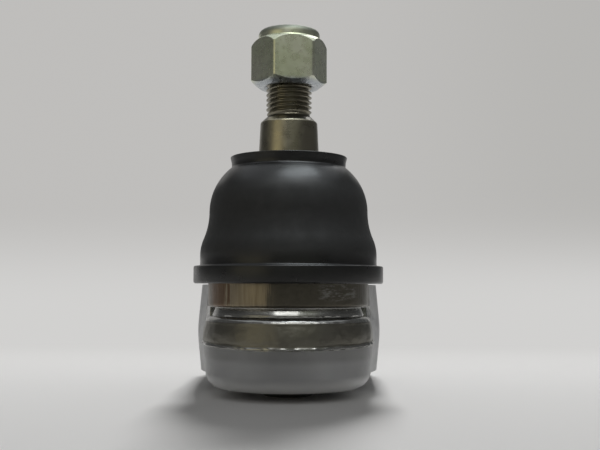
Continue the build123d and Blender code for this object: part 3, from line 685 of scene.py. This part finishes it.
# %% Material helpers
class Finish:
    """A node material with short ways to add its nodes."""

    def __init__(self, name, metallic, roughness, colour=None, **sockets):
        self.material = bpy.data.materials.new(name)
        self.material.use_nodes = True
        self.nodes = self.material.node_tree.nodes
        self.links = self.material.node_tree.links
        self.shader = self.nodes["Principled BSDF"]
        self.shader.inputs["Metallic"].default_value = metallic
        self.shader.inputs["Roughness"].default_value = roughness
        if colour:
            self.shader.inputs["Base Color"].default_value = (*colour, 1)
        for socket, value in sockets.items():
            self.shader.inputs[socket.replace("_", " ")].default_value = value
        self.place = self.nodes.new("ShaderNodeTexCoord").outputs["Object"]

    def join(self, value, socket):
        if isinstance(value, bpy.types.NodeSocket):
            self.links.new(value, socket)
        else:
            socket.default_value = value

    def stretched(self, x, y, z):
        """Object coordinates scaled along each axis."""
        node = self.nodes.new("ShaderNodeMapping")
        self.links.new(self.place, node.inputs["Vector"])
        node.inputs["Scale"].default_value = (x, y, z)
        return node.outputs["Vector"]

    def axes(self, per_metre=1000.0):
        """X, Y and Z apart, in millimetres unless told otherwise."""
        node = self.nodes.new("ShaderNodeSeparateXYZ")
        self.links.new(self.stretched(per_metre, per_metre, per_metre), node.inputs["Vector"])
        return node.outputs["X"], node.outputs["Y"], node.outputs["Z"]

    def length(self, x=1.0, y=1.0, z=1.0):
        """Distance from the origin, with each axis scaled."""
        node = self.nodes.new("ShaderNodeVectorMath")
        node.operation = "LENGTH"
        self.links.new(self.stretched(x, y, z), node.inputs[0])
        return node.outputs["Value"]

    def zone(self, value, low, high, soft):
        """1 between low and high, falling to 0 over soft on both sides."""
        return self.times(self.ramp(value, low - soft, low), self.ramp(value, high + soft, high))

    def noise(self, per_mm, detail=3.0, rough=0.55, vector=None):
        node = self.nodes.new("ShaderNodeTexNoise")
        self.links.new(vector or self.place, node.inputs["Vector"])
        node.inputs["Scale"].default_value = per_mm / MM
        node.inputs["Detail"].default_value = detail
        node.inputs["Roughness"].default_value = rough
        return node.outputs["Fac"]

    def math(self, how, a, b=0.0, c=None):
        node = self.nodes.new("ShaderNodeMath")
        node.operation = how
        self.join(a, node.inputs[0])
        self.join(b, node.inputs[1])
        if c is not None:
            self.join(c, node.inputs[2])
        return node.outputs[0]

    def times(self, a, b):
        return self.math("MULTIPLY", a, b)

    def larger(self, a, b):
        return self.math("MAXIMUM", a, b)

    def ramp(self, value, low, high, to_low=0.0, to_high=1.0):
        """value from low to high, mapped smoothly to to_low to to_high."""
        node = self.nodes.new("ShaderNodeMapRange")
        node.interpolation_type = "SMOOTHSTEP"
        self.join(value, node.inputs["Value"])
        for socket, number in zip(("From Min", "From Max", "To Min", "To Max"), (low, high, to_low, to_high)):
            self.join(number, node.inputs[socket])
        return node.outputs[0]

    def mix(self, share, a, b):
        """Colour a to colour b by share."""
        node = self.nodes.new("ShaderNodeMix")
        node.data_type = "RGBA"
        self.join(share, node.inputs[0])
        self.join(a if isinstance(a, bpy.types.NodeSocket) else (*a, 1), node.inputs[6])
        self.join(b if isinstance(b, bpy.types.NodeSocket) else (*b, 1), node.inputs[7])
        return node.outputs[2]

    def colour(self, value):
        self.join(value, self.shader.inputs["Base Color"])

    def rough(self, value):
        self.join(value, self.shader.inputs["Roughness"])

    def bump(self, value, depth_mm):
        """Adds a bump of that depth on top of the ones before."""
        node = self.nodes.new("ShaderNodeBump")
        node.inputs["Strength"].default_value = 1.0
        node.inputs["Distance"].default_value = depth_mm * MM
        self.join(value, node.inputs["Height"])
        normal = self.shader.inputs["Normal"]
        if normal.links:
            self.links.new(normal.links[0].from_socket, node.inputs["Normal"])
        self.links.new(node.outputs["Normal"], normal)

    def on(self, *pieces):
        for piece in pieces:
            piece.data.materials.clear()
            piece.data.materials.append(self.material)
            for polygon in piece.data.polygons:
                polygon.material_index = 0
        print(f"{self.material.name}: {len(self.nodes)} nodes, on {', '.join(p.name for p in pieces)}")


# %% [markdown]
# ## Forged steel: where each finish lies
#
# One piece of steel carries several finishes. The forged skin is dull, the band above the flash line
# is oiled and darker, the neck is turned and has gone brown, and the edges that get knocked are worn
# bright. Separate materials would meet in hard lines, so this is one material with soft masks from
# 0 to 1, made from height, from the distance to the axis, and from the side.

# %% Zones of the housing
CONE_LIT_Z = 25.05  # above this the ledge's cone catches the light
WORN_Z, WORN_TOP_Z = 22.6, 26.4
# Below these heights the foot is painted lighter, as painted light thrown back by the table.
FOOT_LIT_Z, FOOT_EDGE_Z = 4.2, 7.2
steel = Finish("forged_steel", metallic=1.0, roughness=0.3)
across, back, z = steel.axes()
off_centre = steel.math("ABSOLUTE", across)
out = steel.length(1000, 1000, 0)
front = steel.times(steel.ramp(out, PARTING_R + 0.9, PARTING_R + 0.7), steel.ramp(back, 3.3, 2.3))
round_part = steel.larger(steel.ramp(out, BODY_R + 0.9, BODY_R + 0.6), front)
neck_zone = steel.times(steel.ramp(z, NECK_Z - 0.2, NECK_Z), round_part)
# Mask of the cone's upper part, where a painted highlight goes.
lit_cone_zone = steel.times(steel.zone(z, CONE_LIT_Z, CONE_TOP_Z, 0.3), round_part)
oiled_band = steel.times(steel.zone(z, PARTING_Z, SHOULDER_Z, 0.6), round_part)
# Painted light: the mask of the foot that is painted pale by the table's light.
lit_foot = steel.times(steel.ramp(z, FOOT_EDGE_Z, FOOT_LIT_Z), round_part)
line_z = steel.math("MULTIPLY_ADD", back, LINE_TILT / PARTING_R, PARTING_Z + LINE_RISE)
off_line = steel.math("ABSOLUTE", steel.math("SUBTRACT", z, line_z))
worn = steel.larger(steel.zone(z, WORN_Z, WORN_TOP_Z, 0.4), steel.ramp(off_line, 0.7, 0.3))
worn = steel.times(worn, round_part)
shine = steel.larger(steel.larger(oiled_band, neck_zone), worn)
print("masks of the housing made, nodes so far:", len(steel.nodes))

# %% [markdown]
# ## Forged steel: colours
#
# The dull skin has soft blotches. Round the body the wall is painted darker at the sides and just under
# the flash line, as painted shade, and painted lighter lower down and pale round the foot, as painted
# light that the table throws back. The neck has a tan patch where the turning marks caught the oil, a
# rusty end to its left, and a few pale streaks to its right. A noise that is stretched along Z gives
# upright scratches, and the same noise makes the edges of the patch ragged.

# %% Colours of the housing
scale_marks = steel.noise(0.55, 5, 0.65)
scratches = steel.noise(1.3, 3, 0.6, steel.stretched(1, 1, 0.07))
blotches = steel.ramp(steel.noise(0.09, 3, 0.5), 0.35, 0.65)
skin = steel.mix(blotches, (0.24, 0.243, 0.246), (0.31, 0.31, 0.306))
# Painted shade at the sides and just under the flash line, painted light lower down.
lit_low_down = steel.ramp(z, 12.6, 10.4)
middle = steel.mix(lit_low_down, (0.245, 0.245, 0.24), (0.41, 0.412, 0.414))
shaded_sides = steel.mix(lit_low_down, (0.105, 0.105, 0.10), (0.175, 0.175, 0.175))
wall = steel.mix(steel.ramp(off_centre, 8.0, 23.0), middle, shaded_sides)
skin = steel.mix(steel.times(round_part, 0.7), skin, wall)
# Painted light: the foot is painted pale where the table's light falls back on it.
skin = steel.mix(lit_foot, skin, (0.66, 0.66, 0.655))
base = steel.mix(shine, skin, (0.15, 0.143, 0.12))

brown = steel.mix(scale_marks, (0.06, 0.055, 0.043), (0.11, 0.10, 0.08))
rubbed = steel.mix(scratches, (0.11, 0.09, 0.06), (0.30, 0.255, 0.18))
rusty = steel.mix(scratches, (0.07, 0.048, 0.033), (0.18, 0.12, 0.075))
ragged = steel.math("ADD", steel.math("MULTIPLY_ADD", scratches, 12.0, -6.0), across)
brown = steel.mix(steel.zone(ragged, -17.5, -6.5, 2.5), brown, rubbed)
brown = steel.mix(steel.zone(ragged, -22.0, -17.0, 1.5), brown, rusty)
streaks = steel.ramp(steel.noise(0.5, 4, 0.7, steel.stretched(0.6, 0.6, 2.2)), 0.46, 0.66)
streaks = steel.times(streaks, steel.zone(across, 10.0, 18.5, 2.0))
streaks = steel.times(streaks, steel.zone(z, 29.5, 32.5, 1.5))
brown = steel.mix(streaks, brown, (0.19, 0.187, 0.17))

base = steel.mix(neck_zone, base, brown)
base = steel.mix(steel.times(worn, 0.8), base, (0.32, 0.32, 0.31))
# Painted highlight: the cone is painted lighter at its front centre, where it mirrors the lamp into the
# camera.
cone = steel.mix(steel.ramp(off_centre, 8.0, 15.0), (0.42, 0.42, 0.40), (0.19, 0.19, 0.18))
steel.colour(steel.mix(lit_cone_zone, base, cone))
print("colours of the housing mixed, nodes so far:", len(steel.nodes))

# %% [markdown]
# ## Forged steel: gloss and bump
#
# Scale is an oxide, not bare metal, so the dull skin is only a little metallic and the clean zones
# are nearly all metal. Worn edges are smoother too. The bump fades out where the metal is worn.

# %% Gloss and bump of the housing
steel.join(steel.math("MULTIPLY_ADD", shine, 0.82, 0.15), steel.shader.inputs["Metallic"])
gloss = steel.ramp(scale_marks, 0.3, 0.75, 0.32, 0.42)
steel.rough(steel.math("SUBTRACT", gloss, steel.times(worn, 0.16)))
smooth_wall = steel.times(round_part, steel.ramp(z, PARTING_Z, PARTING_Z - 1, 0.0, 0.7))
calm = steel.math("SUBTRACT", 1.0, steel.larger(smooth_wall, worn))
steel.bump(steel.times(scale_marks, calm), 0.08)
steel.bump(steel.times(scratches, neck_zone), 0.07)
steel.on(housing_skin)

# %% [markdown]
# ## Cover and stud
#
# The cover is plain pressed steel. The stud is ground and oiled. Grinding leaves very fine rings, so
# its noise is squeezed along Z, and a tan painted reflection runs down one side of the taper.

# %% Cover and stud steel
cover_steel = Finish("cover_steel", metallic=1.0, roughness=0.45)
cover_steel.colour(cover_steel.mix(cover_steel.noise(0.3), (0.2, 0.2, 0.205), (0.28, 0.28, 0.285)))
cover_steel.bump(cover_steel.noise(1.5, 3), 0.03)
cover_steel.on(cover_skin)

stud_steel = Finish("stud_steel", metallic=1.0, roughness=0.34)
stud_x, stud_y, stud_z = stud_steel.axes()
# Painted reflection: a tan streak down the front of the taper, left of its middle.
painted_reflection = stud_steel.times(stud_steel.zone(stud_x, -5.4, -1.6, 1.6), stud_steel.ramp(stud_y, -2, -4))
painted_reflection = stud_steel.times(painted_reflection, stud_steel.ramp(stud_z, THREAD_Z, THREAD_Z - 1))
base = stud_steel.mix(stud_steel.noise(0.12), (0.175, 0.16, 0.12), (0.235, 0.222, 0.172))
oily_step = stud_steel.zone(stud_z, TAPER_TOP_Z + 0.4, THREAD_Z + 0.2, 0.2)
base = stud_steel.mix(oily_step, base, (0.07, 0.065, 0.05))
stud_steel.colour(stud_steel.mix(painted_reflection, base, (0.34, 0.31, 0.22)))
stud_steel.rough(stud_steel.ramp(stud_steel.noise(0.4), 0.3, 0.7, 0.26, 0.38))
stud_steel.bump(stud_steel.noise(1.4, 2, 0.5, stud_steel.stretched(0.06, 0.06, 1)), 0.02)
stud_steel.on(stud_skin)

# %% [markdown]
# ## Zinc on the nut
#
# Zinc that has been passivated is bright with a faint green and yellow cast, which drifts over the
# surface. The underside is painted darker and bluish: painted shade, and the cool tint of the floor
# that it mirrors. The crown of the collar, which a tool rolled over the nylon ring, is rougher than
# the flats and is painted darker, as painted shade that dims its highlight.

# %% Zinc
zinc_steel = Finish("zinc_steel", metallic=1.0, roughness=0.3)
nut_z = zinc_steel.axes()[2]
drift = zinc_steel.ramp(zinc_steel.noise(0.12), 0.3, 0.7)
zinc = zinc_steel.mix(drift, (0.58, 0.61, 0.45), (0.65, 0.66, 0.54))
# Painted shade: the underside is painted darker and bluish.
shaded_underside = zinc_steel.ramp(nut_z, NUT_Z + 2.2, NUT_Z + 0.6)
zinc = zinc_steel.mix(shaded_underside, zinc, (0.40, 0.425, 0.44))
# Painted shade: the crown of the collar is painted darker to dim its highlight.
dimmed_crown = zinc_steel.ramp(nut_z, COLLAR_TOP_Z - 2.4, COLLAR_TOP_Z - 0.9)
zinc_steel.colour(zinc_steel.mix(dimmed_crown, zinc, (0.18, 0.19, 0.155)))
frosted = zinc_steel.ramp(nut_z, COLLAR_TOP_Z - 2.4, COLLAR_TOP_Z - 0.8, 0.0, 0.22)
handled = zinc_steel.ramp(zinc_steel.noise(0.5, 4), 0.3, 0.7, 0.24, 0.34)
zinc_steel.rough(zinc_steel.math("ADD", handled, frosted))
zinc_steel.bump(zinc_steel.noise(1.2, 3), 0.008)
zinc_steel.on(nut_skin)

# %% [markdown]
# ## Rubber
#
# New rubber has a satin sheen. Dust settles on the bulge of the boot and takes the sheen away there,
# while the top and the foot keep it, so only the roughness changes with height.

# %% Rubber
rubber = Finish("boot_rubber", metallic=0.0, roughness=0.42, Specular_IOR_Level=0.45)
rubber.colour(rubber.mix(rubber.noise(0.15, 4), (0.004, 0.004, 0.0035), (0.008, 0.008, 0.007)))
dusty = rubber.times(rubber.zone(rubber.axes()[2], FOOT_TOP_Z + 6, RIM_Z - 12.5, 5), 0.40)
rubber.rough(rubber.math("ADD", rubber.ramp(rubber.noise(0.25, 4), 0.3, 0.7, 0.27, 0.36), dusty))
rubber.bump(rubber.noise(2.2, 3), 0.012)
rubber.on(boot_skirt, boot_dome)

# %% [markdown]
# ## The pieces inside
#
# These solids keep their CAD shape and only need a finish: each gets a slow drift between two tones
# and a fine grain. The table gives metallic, roughness and the two tones.

# %% Finishes of the pieces inside
INSIDE = {
    "preload_spring": ("spring_steel", 1.0, 0.35, (0.18, 0.18, 0.2), (0.25, 0.24, 0.24)),
    "pressure_pad": ("bearing_plastic", 0.0, 0.45, (0.72, 0.7, 0.62), (0.78, 0.76, 0.68)),
    "ball_seat": ("bearing_plastic", 0.0, 0.45, (0.72, 0.7, 0.62), (0.78, 0.76, 0.68)),
    "boot_base_ring": ("ring_steel", 1.0, 0.4, (0.32, 0.32, 0.33), (0.4, 0.4, 0.4)),
    "boot_top_ring": ("ring_steel", 1.0, 0.4, (0.32, 0.32, 0.33), (0.4, 0.4, 0.4)),
    "nylon_insert": ("nylon", 0.0, 0.4, (0.62, 0.64, 0.68), (0.7, 0.72, 0.75)),
}
made = {}
for node, (name, metallic, roughness, dark, light) in INSIDE.items():
    if name not in made:
        made[name] = Finish(name, metallic, roughness)
        made[name].colour(made[name].mix(made[name].noise(0.4, 4), dark, light))
        made[name].bump(made[name].noise(2.0, 2), 0.01)
    made[name].on(frame["nodes"][node])

# %% [markdown]
# ## The table
#
# The part stands on white paper that sweeps up behind it. The paper has to stay a calm pale grey in
# the distance without more light on the part, so what lies far off glows with its own tone, but only
# for rays that look at it, straight or in a mirror. Near the part the paper is plain and takes the
# shadow. Metal would mirror the whole room white, so past the working area mirrors see a dark grey.

# %% Table and backdrop
TABLE_Z = -0.02
bm = bmesh.new()
sweep = [(-900, TABLE_Z), (900, TABLE_Z)] + bow((900, TABLE_Z), (1300, 400), -117, 16)[1:] + [(1300, 1500)]
wire = [bm.verts.new((-1600 * MM, y * MM, z_mm * MM)) for y, z_mm in sweep]
edges = [bm.edges.new(pair) for pair in zip(wire, wire[1:])]
pulled = bmesh.ops.extrude_edge_only(bm, edges=edges)
bmesh.ops.translate(bm, vec=(3200 * MM, 0, 0), verts=verts_of(pulled))
table = piece_from(bm, "table", crease_deg=60)

paper = Finish("paper", metallic=0.0, roughness=0.9, colour=(0.84, 0.835, 0.825), Specular_IOR_Level=0.0)
right, deep, high = paper.axes(per_metre=1.0)
# The glow is painted light: brighter on the table than up the backdrop, and darker to the right up high, as
# painted shade.
tone = paper.mix(paper.ramp(high, 0.0, 0.16), (0.64, 0.635, 0.625), (0.52, 0.512, 0.50))
shade = paper.times(paper.ramp(right, 0.0, 0.5, 0.0, 0.6), paper.ramp(high, 0.03, 0.2))
tone = paper.mix(shade, tone, (0.44, 0.435, 0.42))
paper.on(table)

# %% Glow of the far paper
rays = paper.nodes.new("ShaderNodeLightPath").outputs
seen = paper.larger(rays["Is Camera Ray"], rays["Is Glossy Ray"])
seen = paper.larger(seen, rays["Is Transmission Ray"])
far = paper.larger(paper.ramp(deep, 0.03, 0.24), paper.ramp(paper.length(), 0.25, 0.6))
sideways = paper.larger(paper.ramp(right, -0.9, -1.4), paper.ramp(right, 0.45, 0.9))
past = paper.larger(paper.ramp(deep, -0.26, -0.38), sideways)
surface = paper.shader.outputs["BSDF"]
for share, glow_tone in (
    (paper.times(far, seen), tone),
    (paper.times(past, rays["Is Glossy Ray"]), (0.13, 0.135, 0.135, 1)),
):
    glow = paper.nodes.new("ShaderNodeEmission")
    paper.join(glow_tone, glow.inputs["Color"])
    blended = paper.nodes.new("ShaderNodeMixShader")
    paper.join(share, blended.inputs["Fac"])
    paper.links.new(surface, blended.inputs[1])
    paper.links.new(glow.outputs["Emission"], blended.inputs[2])
    surface = blended.outputs["Shader"]
paper.links.new(surface, paper.nodes["Material Output"].inputs["Surface"])
print("paper:", len(paper.nodes), "nodes")

# %% [markdown]
# ## The lamps
#
# Light on paper and gleams on metal want different lamps. One soft lamp above and behind lights the
# paper and throws the shadow towards the camera, and it is left out of mirrors. The other lamps are
# only seen in mirrors: one behind for the top edges, a wide one overhead for the rubber, a long bar
# at the front for the shoulder and the flash line, and a low one for the cone of the ledge. Each
# stands where the surface it is for would mirror it into the camera.

# %% Lamps
AIM = Vector((0, 0, 40))
WHITE = (1, 1, 1)


def lamp(name, spot, size, power, colour=WHITE, on_paper=False):
    """A soft rectangular lamp aimed at the part, placed in millimetres, for paper or for mirrors."""
    data = bpy.data.lights.new(name, "AREA")
    data.shape = "RECTANGLE"
    data.size, data.size_y = size[0] * MM, size[1] * MM
    data.energy = power
    data.color = colour
    light = bpy.data.objects.new(name, data)
    scene.collection.objects.link(light)
    light.location = Vector(spot) * MM
    light.rotation_euler = (AIM - Vector(spot)).to_track_quat("-Z", "Y").to_euler()
    light.visible_diffuse = on_paper
    light.visible_glossy = not on_paper
    print(f"{name}: {power} W over {size[0]} x {size[1]} mm")


lamp("back_window", (60, 760, 900), (260, 300), 10.2, on_paper=True)
lamp("back_sheen", (190, 760, 900), (600, 450), 2.4)
lamp("ceiling_sheen", (190, -200, 1080), (700, 420), 5.6, (0.88, 0.96, 1.0))
lamp("lintel_sheen", (190, -640, 900), (1200, 120), 1.9)
lamp("front_sheen", (-30, -660, 550), (460, 90), 0.46)

# %% [markdown]
# ## The room
#
# Polished steel shows what is round it, so the room is part of the finish: dim walls, a pale
# ceiling, a window's glow to the right of the camera and a warm one low to its left. Dull surfaces
# see an even grey instead, so these glows tint only what is shiny.

# %% Room
world = bpy.data.worlds.new("room")
scene.world = world
world.use_nodes = True


class Room(Finish):
    """The same helpers for the world's nodes. Here place is the direction that a ray looks in."""

    def __init__(self, nodes, links):
        self.nodes = nodes
        self.links = links
        self.place = self.nodes.new("ShaderNodeTexCoord").outputs["Generated"]

    def facing(self, azimuth_deg, elevation_deg):
        """Cosine to that direction. Azimuth runs from the camera's side to the right."""
        a, e = math.radians(azimuth_deg), math.radians(elevation_deg)
        node = self.nodes.new("ShaderNodeVectorMath")
        node.operation = "DOT_PRODUCT"
        self.links.new(self.place, node.inputs[0])
        node.inputs[1].default_value = (math.sin(a) * math.cos(e), -math.cos(a) * math.cos(e), math.sin(e))
        return node.outputs["Value"]

    def glow(self, azimuth_deg, elevation_deg, spread_deg):
        """1 in that direction, falling to 0 at spread away."""
        return self.ramp(self.facing(azimuth_deg, elevation_deg), math.cos(math.radians(spread_deg)), 1.0)


room = Room(world.node_tree.nodes, world.node_tree.links)
CEILING_LOW, CEILING_HIGH = 0.66913, 0.84805  # glow from above at about 38 and 49 degrees up
walls = room.mix(room.glow(17, 30, 36), (0.13, 0.13, 0.13), (0.27, 0.28, 0.23))
ceiling = room.ramp(room.glow(0, 90, 90), CEILING_LOW, CEILING_HIGH)
walls = room.mix(ceiling, walls, (0.74, 0.77, 0.80))
walls = room.mix(room.glow(-46, 6, 29), walls, (0.75, 0.69, 0.50))
looks = room.nodes.new("ShaderNodeLightPath").outputs
walls = room.mix(looks["Is Diffuse Ray"], walls, (0.17, 0.17, 0.17))
walls = room.mix(looks["Is Camera Ray"], walls, (0.60, 0.595, 0.585))
room.links.new(walls, room.nodes["Background"].inputs["Color"])
scene.view_settings.view_transform = "Standard"
print("room:", len(room.nodes), "nodes")

# %% [markdown]
# ## The last update
#
# The view layer is brought up to date at the end, so that every piece stands where it was placed.

# %% Update the view layer
bpy.context.view_layer.update()
